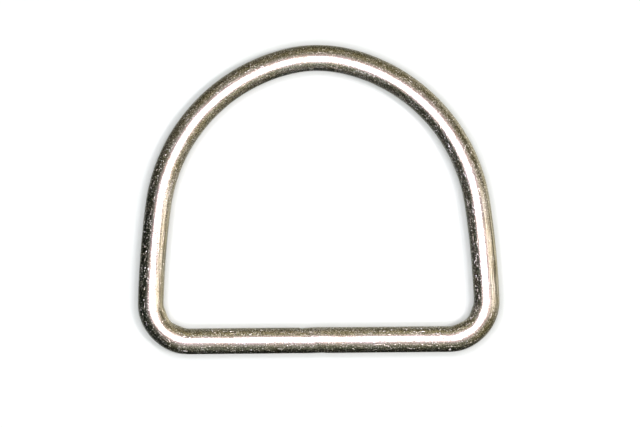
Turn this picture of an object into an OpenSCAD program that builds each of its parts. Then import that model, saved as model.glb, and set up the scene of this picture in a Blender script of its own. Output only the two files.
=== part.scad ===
// D ring for a strap: one length of round steel wire bent to a D, with its two ends
// butt welded near the middle of the straight bar, then plated.
// It lies flat. X runs along the bar, Y from the bar to the crown of the arch, Z up.
// The origin is the middle of the ring's outline, on the surface that it lies on.

/* [Opening] */
// Clear width inside the D, where it is widest
clear_w = 38.8; // [34:0.1:44]
// Clear height inside the D, from the bar to the crown
clear_h = 32.1; // [28:0.1:40]

/* [Wire] */
// Diameter of the round wire
wire_d = 3.2; // [2.4:0.1:4]

/* [Bends] */
// Inside radius of the bend at each end of the bar
corner_r = 3.1; // [2:0.1:5]
// Inside radius of the crown, the tightest stretch of the arch
crown_r = 14.1; // [11:0.1:17]
// Angle that the crown turns through, each side of its middle
crown_turn = 13.3; // [5:0.1:25]
// Lean of each leg from upright where it leaves its corner
foot_lean = 1.8; // [0:0.1:4]
// Lean of each leg from upright where it runs into the arch
shoulder_lean = 8.1; // [6:0.1:12]

/* [Weld] */
// Distance of the weld from the middle of the bar, towards the left
weld_shift = 0.7; // [0:0.1:3]
// Length of the shallow neck that the weld leaves in the wire
weld_length = 2.2; // [1:0.1:4]
// Depth of that neck below the wire's surface
weld_depth = 0.08; // [0.02:0.01:0.2]

/* [Hidden] */
$fn = 64;

// The wire's middle line, which every bend below follows
wire_r = wire_d / 2;
half_w = (clear_w + wire_d) / 2;
line_h = clear_h + wire_d;
bar_y = -line_h / 2;
corner_line_r = corner_r + wire_r;
crown_line_r = crown_r + wire_r;

// Angles are the turn from the crown's middle: 0 there, 90 on an upright leg, 180 on the bar
leg_top = 90 - shoulder_lean;
leg_foot = 90 - foot_lean;
leg_middle = (leg_top + leg_foot) / 2;

// The arch's radius and the leg's length are the two that make the line meet its corner.
// Each row says that crown, arch, leg and corner together reach half_w across and line_h down.
across = half_w - corner_line_r * (1 - sin(leg_foot)) - crown_line_r * sin(crown_turn);
down = line_h - corner_line_r * (1 + cos(leg_foot)) - crown_line_r * (1 - cos(crown_turn));
arch_across = sin(leg_top) - sin(crown_turn);
arch_down = cos(crown_turn) - cos(leg_top);
leg_across = cos(leg_middle);
leg_down = sin(leg_middle);
both = arch_across * leg_down - arch_down * leg_across;
arch_line_r = (across * leg_down - down * leg_across) / both;
leg_length = (arch_across * down - arch_down * across) / both;
leg_line_r = leg_length / (2 * sin((leg_foot - leg_top) / 2));

// Where each bend of the right half turns about
crown_centre = [0, line_h / 2 - crown_line_r];
arch_centre = crown_centre + (crown_line_r - arch_line_r) * [sin(crown_turn), cos(crown_turn)];
leg_centre = arch_centre + (arch_line_r - leg_line_r) * [sin(leg_top), cos(leg_top)];
corner_centre = [half_w - corner_line_r, bar_y + corner_line_r];

// The weld's neck on the bar, its hollow side an arc over weld_length that is weld_depth deep
weld_start = -weld_shift - weld_length / 2;
weld_end = weld_start + weld_length;
weld_groove_r = (pow(weld_length / 2, 2) + pow(weld_depth, 2)) / (2 * weld_depth);

// Moves its children to a point in two steps, whole thousandths first and the rest after,
// so that no digit is lost to rounding and neighbouring bends meet exactly
module place(point) {
    coarse = [for (value = point) round(value * 1000) / 1000];
    translate(coarse) translate(point - coarse) children();
}

// A bend of the wire about centre, between two turns from the crown's middle
module bend(centre, line_r, from, to)
    place([centre.x, centre.y, wire_r])
        rotate_extrude(angle = to - from, start = 90 - to)
            place([line_r, 0, 0]) circle(d = wire_d);

// The same bend on the left side
module left_bend(centre, line_r, from, to)
    bend([-centre.x, centre.y], line_r, -to, -from);

// A straight stretch of the bar, between two places along X
module bar(from, to)
    place([from, bar_y, wire_r])
        rotate([0, 90, 0]) cylinder(d = wire_d, h = to - from);

// The weld's neck, a stretch of the bar whose side is slightly hollow
module weld()
    place([weld_start, bar_y, wire_r])
        rotate([0, 90, 0])
            rotate_extrude()
                difference() {
                    square([wire_r, weld_length]);
                    place([wire_r - weld_depth + weld_groove_r, weld_length / 2, 0])
                        circle(r = weld_groove_r);
                }

// The whole ring, one closed loop from the crown round to the crown again
module ring() {
    color([0.76, 0.74, 0.68]) union() {
        bend(crown_centre, crown_line_r, -crown_turn, crown_turn);
        bend(arch_centre, arch_line_r, crown_turn, leg_top);
        bend(leg_centre, leg_line_r, leg_top, leg_foot);
        bend(corner_centre, corner_line_r, leg_foot, 180);
        bar(weld_end, corner_centre.x);
        weld();
        bar(-corner_centre.x, weld_start);
        left_bend(corner_centre, corner_line_r, leg_foot, 180);
        left_bend(leg_centre, leg_line_r, leg_top, leg_foot);
        left_bend(arch_centre, arch_line_r, crown_turn, leg_top);
    }
}

ring();
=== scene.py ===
# A D ring for a strap, lying flat: one length of round steel wire, drawn and cut, bent to
# a D, butt welded near the middle of its bar, then tumbled and nickel plated in a barrel.
import math
import bpy
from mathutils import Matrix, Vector, noise


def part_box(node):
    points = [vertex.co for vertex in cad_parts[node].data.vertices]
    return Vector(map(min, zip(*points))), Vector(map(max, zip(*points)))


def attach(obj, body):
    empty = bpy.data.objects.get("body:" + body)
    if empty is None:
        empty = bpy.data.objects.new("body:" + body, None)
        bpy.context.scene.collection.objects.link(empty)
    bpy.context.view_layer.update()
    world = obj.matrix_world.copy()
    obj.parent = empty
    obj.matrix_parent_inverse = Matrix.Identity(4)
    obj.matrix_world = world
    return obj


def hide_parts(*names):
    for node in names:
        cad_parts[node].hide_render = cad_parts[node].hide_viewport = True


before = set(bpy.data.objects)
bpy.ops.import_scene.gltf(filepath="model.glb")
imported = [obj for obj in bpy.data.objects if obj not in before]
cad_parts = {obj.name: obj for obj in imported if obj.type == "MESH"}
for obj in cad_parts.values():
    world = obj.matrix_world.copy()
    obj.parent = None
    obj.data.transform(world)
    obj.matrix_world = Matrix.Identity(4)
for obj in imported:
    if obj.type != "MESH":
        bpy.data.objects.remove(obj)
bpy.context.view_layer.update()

MM = 0.001


# The drawn wire. It is one straight length of round steel, as long as the D's middle line,
# that starts and ends at the weld. It is shaped straight first and bent afterwards, as the
# real one is, so every mark of the die runs along it.
low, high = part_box("ring")
WIRE_D = high.z - low.z
WIRE_R = WIRE_D / 2
CORNER_R = 3.1 * MM + WIRE_R
CROWN_R = 14.1 * MM + WIRE_R
CROWN_TURN = math.radians(13.3)
LEG_TOP = math.radians(90 - 8.1)
LEG_FOOT = math.radians(90 - 1.8)
WELD_X = -0.7 * MM
FACETS_ROUND = 80
FACET_LENGTH = 0.119 * MM

# The arch's radius and the leg's length are the two that make the line meet its corner
half_w = (high.x - low.x) / 2 - WIRE_R
line_h = high.y - low.y - WIRE_D
bar_y = low.y + WIRE_R
leg_middle = (LEG_TOP + LEG_FOOT) / 2
across = half_w - CORNER_R * (1 - math.sin(LEG_FOOT)) - CROWN_R * math.sin(CROWN_TURN)
down = line_h - CORNER_R * (1 + math.cos(LEG_FOOT)) - CROWN_R * (1 - math.cos(CROWN_TURN))
arch_across = math.sin(LEG_TOP) - math.sin(CROWN_TURN)
arch_down = math.cos(CROWN_TURN) - math.cos(LEG_TOP)
leg_across = math.cos(leg_middle)
leg_down = math.sin(leg_middle)
both = arch_across * leg_down - arch_down * leg_across
arch_r = (across * leg_down - down * leg_across) / both
leg_length = (arch_across * down - arch_down * across) / both
leg_r = leg_length / (2 * math.sin((LEG_FOOT - LEG_TOP) / 2))
corner_x = half_w - CORNER_R
corner_run = CORNER_R * (math.pi - LEG_FOOT)

# Each stretch from the weld round to the weld: how far it runs, and how far it turns
side = [
    (corner_run, math.pi - LEG_FOOT),
    (leg_r * (LEG_FOOT - LEG_TOP), LEG_FOOT - LEG_TOP),
    (arch_r * (LEG_TOP - CROWN_TURN), LEG_TOP - CROWN_TURN),
]
crown = (CROWN_R * 2 * CROWN_TURN, 2 * CROWN_TURN)
stretches = [(corner_x - WELD_X, 0), *side, crown, *reversed(side), (corner_x + WELD_X, 0)]
wire_length = sum(run for run, turn in stretches)


def lay_along(distance):
    """The middle line's place and heading at a distance from the weld, anticlockwise from above"""
    x, y, heading = WELD_X, bar_y, 0.0
    for run, turn in stretches:
        gone = min(distance, run)
        if turn:
            radius = run / turn
            turned_to = heading + turn * gone / run
            x += radius * (math.sin(turned_to) - math.sin(heading))
            y += radius * (math.cos(heading) - math.cos(turned_to))
            heading = turned_to
        else:
            x += gone * math.cos(heading)
            y += gone * math.sin(heading)
        distance -= gone
        if distance <= 0:
            break
    return x, y, heading


# A circle of the wire's size is drawn out along X to the wire's length
bpy.ops.object.select_all(action="DESELECT")
bpy.ops.mesh.primitive_circle_add(
    vertices=FACETS_ROUND, radius=WIRE_R, location=(0, 0, 0), rotation=(0, math.pi / 2, 0)
)
ring = bpy.context.object
ring.name = "bent_wire"
bpy.ops.object.transform_apply(location=True, rotation=True, scale=True)
draw = ring.modifiers.new("draw", "SCREW")
draw.axis = "X"
draw.angle = 0
draw.screw_offset = wire_length
draw.steps = round(wire_length / FACET_LENGTH)
draw.render_steps = draw.steps
bpy.ops.object.modifier_apply(modifier=draw.name)

# The straight wire's own coordinates are kept on it, for the patterns that follow the wire.
# Its +Y side becomes the inner side of the D.
mesh = ring.data
straight = [vertex.co.copy() for vertex in mesh.vertices]
kept = mesh.attributes.new("drawn_wire", "FLOAT_VECTOR", "CORNER")
corners = [straight[corner.vertex_index] for corner in mesh.loops]
kept.data.foreach_set("vector", [value for place in corners for value in place])


# The wire's marks. The barrel has hammered it into shallow waves and a fine sandy grain, and
# the die has left lines along it. For each kind: how far apart along the wire and across it,
# and how high. The shift gives the sand a pattern of its own.
WAVES = (5.0 * MM, 1.6 * MM, 0.012 * MM)
DIE_LINES = (3.0 * MM, 0.3 * MM, 0.001 * MM)
GRAIN = (0.45 * MM, 0.45 * MM, 0.001 * MM)
SAND = (0.26 * MM, 0.26 * MM, 0.0005 * MM)
SAND_SHIFT = Vector((7.3, 2.1, 5.5))


def marks(place, kind, shift=Vector()):
    """How high marks of one kind stand out at a place on the straight wire"""
    along, around, height = kind
    return height * noise.noise(Vector((place.x / along, place.y / around, place.z / around)) + shift)


# A tight bend gathers the metal on its inner side, a fold to each side of its middle, and
# draws it thinner on the outer side
FOLD_HEIGHT = 0.12 * MM
THINNING = 0.06 * MM
corner_starts = (corner_x - WELD_X, wire_length - (corner_x + WELD_X) - corner_run)


def bend_marks(place):
    height = 0.0
    for start in corner_starts:
        along = (place.x - start) / corner_run
        if 0 < along < 1:
            inner = max(0.0, place.y / WIRE_R)
            outer = max(0.0, -place.y / WIRE_R)
            height += FOLD_HEIGHT * (inner * math.sin(math.tau * along)) ** 2
            height -= THINNING * outer * math.sin(math.pi * along) ** 2
    return height


# The weld has left a shallow neck with a seam in it. On the D's inner side there is a low
# swelling to the right of it, and a nick to the left.
NECK_DEPTH = 0.05 * MM
NECK_WIDTH = 0.75 * MM
SEAM_DEPTH = 0.01 * MM
SEAM_WIDTH = 0.12 * MM
SWELL_PLACE = 1.6 * MM
SWELL_WIDTH = 1.1 * MM
SWELL_HEIGHT = 0.04 * MM
NICK_PLACE = 0.7 * MM
NICK_WIDTH = 0.4 * MM
NICK_DEPTH = 0.12 * MM


def fall(distance, width):
    """1 at the middle of a mark, and next to nothing two widths away"""
    return math.exp(-(distance / width) ** 2)


def weld_marks(place, from_weld):
    inner = max(0.0, place.y / WIRE_R)
    height = -NECK_DEPTH * fall(from_weld, NECK_WIDTH) - SEAM_DEPTH * fall(from_weld, SEAM_WIDTH)
    height += SWELL_HEIGHT * inner * fall(place.x - SWELL_PLACE, SWELL_WIDTH)
    height -= NICK_DEPTH * inner ** 3 * fall(place.x - wire_length + NICK_PLACE, NICK_WIDTH)
    return height


# The two ends met aslant, so what is near the weld is sheared along the wire. The wire is
# bent round from the weld to the weld again.
WELD_SLANT = -0.66
WELD_FADE = 4.0 * MM
for vertex, place in zip(mesh.vertices, straight, strict=True):
    from_weld = min(place.x, wire_length - place.x)
    height = marks(place, WAVES) + marks(place, DIE_LINES) + marks(place, GRAIN)
    height += marks(place, SAND, SAND_SHIFT) + bend_marks(place) + weld_marks(place, from_weld)
    slant = WELD_SLANT * place.y * max(0.0, 1 - from_weld / WELD_FADE) ** 2
    round_place = Vector((0, place.y, place.z))
    marked = round_place + round_place.normalized() * height
    x, y, heading = lay_along(place.x)
    vertex.co = (
        x - marked.y * math.sin(heading) + slant * math.cos(heading),
        y + marked.y * math.cos(heading) + slant * math.sin(heading),
        WIRE_R + marked.z,
    )

# The two ends of the surface meet at the weld, and are merged there into a closed one
MERGE_DISTANCE = 0.02 * MM
bpy.ops.object.mode_set(mode="EDIT")
bpy.ops.mesh.select_all(action="SELECT")
bpy.ops.mesh.remove_doubles(threshold=MERGE_DISTANCE)
bpy.ops.mesh.normals_make_consistent(inside=False)
bpy.ops.object.mode_set(mode="OBJECT")
bpy.ops.object.shade_smooth()


# The plate: nickel on steel, finished in a barrel. It is a warm grey mirror broken up by a
# grain as fine as sand, so that it glitters instead of reflecting a clean picture; some of
# its glints are painted highlights in its colour. The real grain is finer than the render
# can show, so it is drawn about as wide as a pixel.
def linear(code):
    """An sRGB hex colour as the linear RGBA that a node takes"""
    parts = [int(code[i:i + 2], 16) / 255 for i in (1, 3, 5)]
    return (*[c / 12.92 if c <= 0.04045 else ((c + 0.055) / 1.055) ** 2.4 for c in parts], 1.0)


def node(tree, kind, links=(), **settings):
    """Adds a node, sets its properties or sockets by name, and links (socket, source) pairs"""
    made = tree.nodes.new(kind)
    for name, value in settings.items():
        if hasattr(made, name):
            setattr(made, name, value)
        else:
            made.inputs[name.replace("_", " ")].default_value = value
    for socket, source in links:
        tree.links.new(source, made.inputs[socket])
    return made


# The metal blurs what it mirrors, but the blur of a bright box ends sharply
plate = bpy.data.materials.new("barrel_nickel_plate")
plate.use_nodes = True
tree = plate.node_tree
tree.nodes.remove(tree.nodes["Principled BSDF"])
surface = node(tree, "ShaderNodeBsdfMetallic", distribution="BECKMANN", Roughness=0.28)
tree.links.new(surface.outputs["BSDF"], tree.nodes["Material Output"].inputs["Surface"])
coordinates = node(tree, "ShaderNodeTexCoord")
spot = coordinates.outputs["Object"]
leaning = node(tree, "ShaderNodeSeparateXYZ", [("Vector", coordinates.outputs["Normal"])])
drawn = node(tree, "ShaderNodeAttribute", attribute_name="drawn_wire").outputs["Vector"]

# The plate's colour drifts in patches. It is darker than bare nickel, so that a painted glint
# can be three times as bright before it is white.
PATCH_SIZE = 2.5 * MM
patches = node(tree, "ShaderNodeTexNoise", [("Vector", spot)], Scale=1 / PATCH_SIZE, Detail=3.0)
colour = node(tree, "ShaderNodeValToRGB", [("Fac", patches.outputs["Fac"])])
colour.color_ramp.elements[0].position = 0.35
colour.color_ramp.elements[0].color = linear("#9A9383")
colour.color_ramp.elements[1].position = 0.65
colour.color_ramp.elements[1].color = linear("#A49F97")

# The barrel's grain: dark pits between bright rises. The wire's top is rubbed smoother. The
# inner side of the D is painted brighter and the outer side darker, as painted light and shade.
PIT_SIZE = 0.14 * MM
grain = node(tree, "ShaderNodeTexNoise", [("Vector", spot)], Scale=1 / PIT_SIZE, Detail=0.0)
pits = node(
    tree, "ShaderNodeMapRange", [("Value", grain.outputs["Fac"])],
    interpolation_type="SMOOTHSTEP", From_Min=0.4, From_Max=0.68, To_Min=0.55, To_Max=1.68,
)
on_top = node(
    tree, "ShaderNodeMapRange", [("Value", leaning.outputs["Z"])],
    From_Min=0.86, From_Max=0.98, To_Max=0.7,
)
rubbed_pits = node(
    tree, "ShaderNodeMix", [(0, on_top.outputs["Result"]), (2, pits.outputs["Result"])],
    data_type="FLOAT",
)
rubbed_pits.inputs[3].default_value = 1.0
drawn_parts = node(tree, "ShaderNodeSeparateXYZ", [("Vector", drawn)])
# Painted light and shade: the colour on the D's inner side is raised and on its outer side lowered
painted_inner_side_light = node(
    tree, "ShaderNodeMapRange", [("Value", drawn_parts.outputs["Y"])],
    From_Min=-WIRE_R / 2, From_Max=WIRE_R / 2, To_Min=0.88, To_Max=1.22,
)
grain_and_painted_side_light = node(
    tree, "ShaderNodeMath", [(0, rubbed_pits.outputs[0]), (1, painted_inner_side_light.outputs["Result"])],
    operation="MULTIPLY",
)

# Painted glints: here and there a grain's colour is raised up to four and a half times, a painted
# highlight of a flat grain that flashes
FLECK_SIZE = 0.17 * MM
specks = node(tree, "ShaderNodeTexNoise", [("Vector", spot)], Scale=1 / FLECK_SIZE, Detail=0.0)
painted_glints = node(
    tree, "ShaderNodeMapRange", [("Value", specks.outputs["Fac"])],
    From_Min=0.65, From_Max=0.76, To_Min=0.97, To_Max=4.6,
)
grain_and_painted_light = node(
    tree, "ShaderNodeMath", [(0, grain_and_painted_side_light.outputs["Value"]), (1, painted_glints.outputs["Result"])],
    operation="MULTIPLY",
)

# The die's lines run along the wire. They show most where the legs face right, from the
# corners' ends up to the middle of the ring, and take the place of the grain there.
LINE_SIZE = (5.0 * MM, 0.19 * MM, 0.19 * MM)
OVER_CORNER_FROM = -15.5 * MM
OVER_CORNER_TO = -13.0 * MM
MIDDLE_FADE = 4.0 * MM
along_line = node(tree, "ShaderNodeVectorMath", [(0, drawn)], operation="MULTIPLY")
along_line.inputs[1].default_value = [1 / size for size in LINE_SIZE]
die = node(
    tree, "ShaderNodeTexNoise", [("Vector", along_line.outputs["Vector"])], Scale=1.0, Detail=1.0
)
spot_parts = node(tree, "ShaderNodeSeparateXYZ", [("Vector", spot)])
over_corner = node(
    tree, "ShaderNodeMapRange", [("Value", spot_parts.outputs["Y"])],
    From_Min=OVER_CORNER_FROM, From_Max=OVER_CORNER_TO,
)
on_leg = node(
    tree, "ShaderNodeMapRange",
    [("Value", spot_parts.outputs["Y"]), ("To Max", over_corner.outputs["Result"])],
    From_Min=MIDDLE_FADE, From_Max=-MIDDLE_FADE,
)
to_right = node(
    tree, "ShaderNodeMapRange",
    [("Value", leaning.outputs["X"]), ("To Max", on_leg.outputs["Result"])],
    From_Min=-0.1, From_Max=0.3,
)
lines_show = node(
    tree, "ShaderNodeMapRange", [("Value", to_right.outputs["Result"])], To_Min=0.05, To_Max=0.8,
)
streaks = node(
    tree, "ShaderNodeMapRange", [("Value", die.outputs["Fac"])],
    From_Min=0.4, From_Max=0.6, To_Min=0.4, To_Max=1.6,
)
brightness = node(
    tree, "ShaderNodeMix",
    [
        (0, lines_show.outputs["Result"]), (2, grain_and_painted_light.outputs["Value"]),
        (3, streaks.outputs["Result"]),
    ],
    data_type="FLOAT",
)
# The patches' colour scaled by the grain and the die's lines, with the painted glints and the painted
# light on the inner side
colour_with_painted_light = node(
    tree, "ShaderNodeVectorMath",
    [(0, colour.outputs["Color"]), ("Scale", brightness.outputs[0])],
    operation="SCALE",
)
tree.links.new(colour_with_painted_light.outputs["Vector"], surface.inputs["Base Color"])

# The relief that is too fine for the mesh: the grain, its highest tips, the short dents that
# rings knock into each other, which run along the wire, and the die's lines
GRAIN_HEIGHT = 0.0006 * MM
TIP_HEIGHT = 0.055 * MM
DENT_SIZE = (1.3 * MM, 0.2 * MM, 0.2 * MM)
DENT_DEPTH = 0.03 * MM
LINE_HEIGHT = 0.01 * MM
tips = node(
    tree, "ShaderNodeMapRange", [("Value", specks.outputs["Fac"])],
    interpolation_type="SMOOTHSTEP", From_Min=0.65, From_Max=0.8,
)
grainy = node(
    tree, "ShaderNodeBump", [("Height", grain.outputs["Fac"])], Strength=1.0, Distance=GRAIN_HEIGHT
)
speckled = node(
    tree, "ShaderNodeBump",
    [("Height", tips.outputs["Result"]), ("Normal", grainy.outputs["Normal"])],
    Strength=1.0, Distance=TIP_HEIGHT,
)
along_dent = node(tree, "ShaderNodeVectorMath", [(0, drawn)], operation="MULTIPLY")
along_dent.inputs[1].default_value = [1 / size for size in DENT_SIZE]
knocks = node(
    tree, "ShaderNodeTexNoise", [("Vector", along_dent.outputs["Vector"])], Scale=1.0, Detail=0.0
)
dents = node(
    tree, "ShaderNodeMapRange", [("Value", knocks.outputs["Fac"])],
    interpolation_type="SMOOTHSTEP", From_Min=0.73, From_Max=0.82, To_Min=0.0, To_Max=-1.0,
)
dented = node(
    tree, "ShaderNodeBump",
    [("Height", dents.outputs["Result"]), ("Normal", speckled.outputs["Normal"])],
    Strength=1.0, Distance=DENT_DEPTH,
)
lined = node(
    tree, "ShaderNodeBump",
    [
        ("Height", die.outputs["Fac"]), ("Normal", dented.outputs["Normal"]),
        ("Strength", lines_show.outputs["Result"]),
    ],
    Distance=LINE_HEIGHT,
)
tree.links.new(lined.outputs["Normal"], surface.inputs["Normal"])
ring.data.materials.append(plate)
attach(ring, "root")
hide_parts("ring")


# The floor: a plain pale board, matt and wide enough for every view. The metal mirrors the
# lamps and the room round it, but not the board.
FLOOR_WIDTH = 6.0
bpy.ops.mesh.primitive_plane_add(size=FLOOR_WIDTH, location=(0, 0, low.z))
floor = bpy.context.object
floor.name = "floor"
floor.visible_glossy = False
board = bpy.data.materials.new("pale_board")
board.use_nodes = True
board.node_tree.nodes["Principled BSDF"].inputs["Base Color"].default_value = linear("#E6E8E9")
board.node_tree.nodes["Principled BSDF"].inputs["Roughness"].default_value = 0.9
board.node_tree.nodes["Principled BSDF"].inputs["Specular IOR Level"].default_value = 0.0
floor.data.materials.append(board)


# The lamps. The metal mirrors a nest of soft boxes close above the ring, the smallest by far
# the brightest, and a window low on the right. The floor has lamps of its own: a ceiling, a
# flash from the right and a ring of small lamps.
def lamp(name, shape, size, place, aim, watts, code, on_metal=True, on_floor=True):
    light = bpy.data.lights.new(name, "AREA")
    light.shape = shape
    light.size, light.size_y = size
    light.energy = watts
    light.color = linear(code)[:3]
    held = bpy.data.objects.new(name, light)
    held.location = place
    held.rotation_euler = (Vector(aim) - Vector(place)).to_track_quat("-Z", "Y").to_euler()
    held.visible_camera = False
    held.visible_glossy = on_metal
    held.visible_diffuse = on_floor
    bpy.context.scene.collection.objects.link(held)


# The soft boxes: how far right of the ring's middle, how wide, how deep, power and colour.
# Each reaches further right than the one before it, and the second and third are faintly
# pink.
BOX_HEIGHT = 0.1
BOX_Y = -0.004
SOFT_BOXES = (
    (0.006, 0.098, 0.078, 0.165, "#F6EEFF"),
    (0.012, 0.108, 0.093, 0.036, "#FFD8F2"),
    (0.018, 0.186, 0.176, 0.078, "#FFE2F4"),
    (0.026, 0.200, 0.206, 0.064, "#EAEEE8"),
    (0.022, 0.256, 0.250, 0.098, "#EAEEE8"),
)
for right, wide, deep, watts, code in SOFT_BOXES:
    lamp(
        "soft_box", "ELLIPSE", (wide, deep), (right, BOX_Y, BOX_HEIGHT), (right, BOX_Y, 0),
        watts, code, on_floor=False,
    )

MIDDLE = (0, 0, 0)
lamp(
    "window", "RECTANGLE", (0.24, 0.50), (0.5, -0.02, 0.25), MIDDLE,
    0.795, "#FAF2EC", on_floor=False,
)
lamp("flash", "DISK", (0.06, 0.06), (0.40, -0.01, 0.8), MIDDLE, 1.4, "#FFF8F0", on_metal=False)
lamp("ceiling", "DISK", (0.36, 0.36), (0, 0, 0.45), MIDDLE, 1.05, "#F8FAFF", on_metal=False)

RING_LIGHTS = 8
RING_RADIUS = 0.24
RING_HEIGHT = 0.6
for count in range(RING_LIGHTS):
    turn = math.tau * count / RING_LIGHTS
    place = (RING_RADIUS * math.cos(turn), RING_RADIUS * math.sin(turn), RING_HEIGHT)
    lamp("ring_light", "DISK", (0.05, 0.05), place, MIDDLE, 0.31, "#F8FAFF", on_metal=False)


# The room that the metal mirrors. Each wall is a list of heights, from straight down at 0 to
# straight up at 1, and the colours there: pale walls all round, and over them the far wall,
# the dark side to the left, the near wall and the table that the window lights on the right.
PALE = (
    (0.14, "#A09D90"), (0.34, "#646452"), (0.51, "#8E8864"),
    (0.67, "#B0AA88"), (0.8, "#9A967C"), (0.9, "#908C84"),
)
FAR = (
    (0.14, "#A8A598"), (0.34, "#5E5C4A"), (0.51, "#4E4832"),
    (0.67, "#A49E7E"), (0.8, "#9A967C"), (0.9, "#908C84"),
)
DARK = (
    (0.14, "#969890"), (0.24, "#121A16"), (0.51, "#0C1410"),
    (0.67, "#323A30"), (0.8, "#383D36"), (0.9, "#303234"),
)
NEAR = (
    (0.14, "#202220"), (0.34, "#2A2C2A"), (0.51, "#464A40"),
    (0.67, "#8C9484"), (0.8, "#A0A398"), (0.9, "#A8A6A4"),
)
LIT = (
    (0.14, "#F2ECD4"), (0.38, "#F2ECD4"), (0.46, "#706B55"),
    (0.67, "#8A846C"), (0.8, "#9A9484"), (0.9, "#A09A98"),
)

world = bpy.data.worlds.new("room")
bpy.context.scene.world = world
world.use_nodes = True
tree = world.node_tree
sight = node(tree, "ShaderNodeTexCoord").outputs["Generated"]
sight_parts = node(tree, "ShaderNodeSeparateXYZ", [("Vector", sight)])
sight_height = node(
    tree, "ShaderNodeMapRange", [("Value", sight_parts.outputs["Z"])], From_Min=-1.0, From_Max=1.0
)
level = node(tree, "ShaderNodeVectorMath", [(0, sight)], operation="MULTIPLY")
level.inputs[1].default_value = (1, 1, 0)
compass = node(tree, "ShaderNodeVectorMath", [(0, level.outputs["Vector"])], operation="NORMALIZE")


def wall(stops):
    ramp = node(tree, "ShaderNodeValToRGB", [("Fac", sight_height.outputs["Result"])])
    elements = ramp.color_ramp.elements
    while len(elements) < len(stops):
        elements.new(0.5)
    for element, (up, code) in zip(elements, stops, strict=True):
        element.position = up
        element.color = linear(code)
    return ramp.outputs["Color"]


# Where each wall stands, and the cosines of the angles from there between which it fades in
WALLS = (
    ((-0.66, 0.75, 0), 0.7, 0.95, FAR),
    ((-0.90, -0.43, 0), 0.33, 0.8, DARK),
    ((0.1, -0.99, 0), 0.75, 1.0, NEAR),
    ((0.92, 0.39, 0), 0.65, 1.0, LIT),
)
room = wall(PALE)
for toward, least, most, stops in WALLS:
    facing = node(
        tree, "ShaderNodeVectorMath", [(0, compass.outputs["Vector"])], operation="DOT_PRODUCT"
    )
    facing.inputs[1].default_value = toward
    share = node(
        tree, "ShaderNodeMapRange", [("Value", facing.outputs["Value"])],
        From_Min=least, From_Max=most,
    )
    room = node(
        tree, "ShaderNodeMix", [(0, share.outputs["Result"]), (6, room), (7, wall(stops))],
        data_type="RGBA",
    ).outputs[2]

# The room is brighter than its colours, because the plate is darker than bare nickel. The
# floor is lit by a plain warm grey instead, and the camera sees a plain pale one.
ROOM_LIGHT = 1.45
bright_room = node(tree, "ShaderNodeVectorMath", [(0, room)], operation="SCALE", Scale=ROOM_LIGHT)
path = node(tree, "ShaderNodeLightPath")
lit_room = node(
    tree, "ShaderNodeMix",
    [(0, path.outputs["Is Glossy Ray"]), (7, bright_room.outputs["Vector"])],
    data_type="RGBA",
)
lit_room.inputs[6].default_value = linear("#7D7A66")
shown = node(
    tree, "ShaderNodeMix", [(0, path.outputs["Is Camera Ray"]), (6, lit_room.outputs[2])],
    data_type="RGBA",
)
shown.inputs[7].default_value = linear("#F4F5F6")
tree.links.new(shown.outputs[2], tree.nodes["Background"].inputs["Color"])


# The camera looks straight down, and takes in a strip as wide as SHOWN_WIDTH at the height
# of the wire's middle. The photograph has the ring a little above its own middle, turned by
# half a degree.
CAMERA_HEIGHT = 0.42
CAMERA_X = 0.261 * MM
CAMERA_Y = -1.810 * MM
CAMERA_TURN = math.radians(-0.533)
SHOWN_WIDTH = 80 * MM
SENSOR = 36.0
camera_data = bpy.data.cameras.new("camera")
camera_data.sensor_width = SENSOR
camera_data.lens = SENSOR * (CAMERA_HEIGHT - WIRE_R) / SHOWN_WIDTH
camera_data.clip_start = 0.01
camera_data.clip_end = 10
camera = bpy.data.objects.new("camera", camera_data)
camera.location = (CAMERA_X, CAMERA_Y, CAMERA_HEIGHT)
camera.rotation_euler = (0, 0, CAMERA_TURN)
bpy.context.scene.collection.objects.link(camera)
bpy.context.scene.camera = camera
bpy.context.scene.view_settings.view_transform = "Standard"
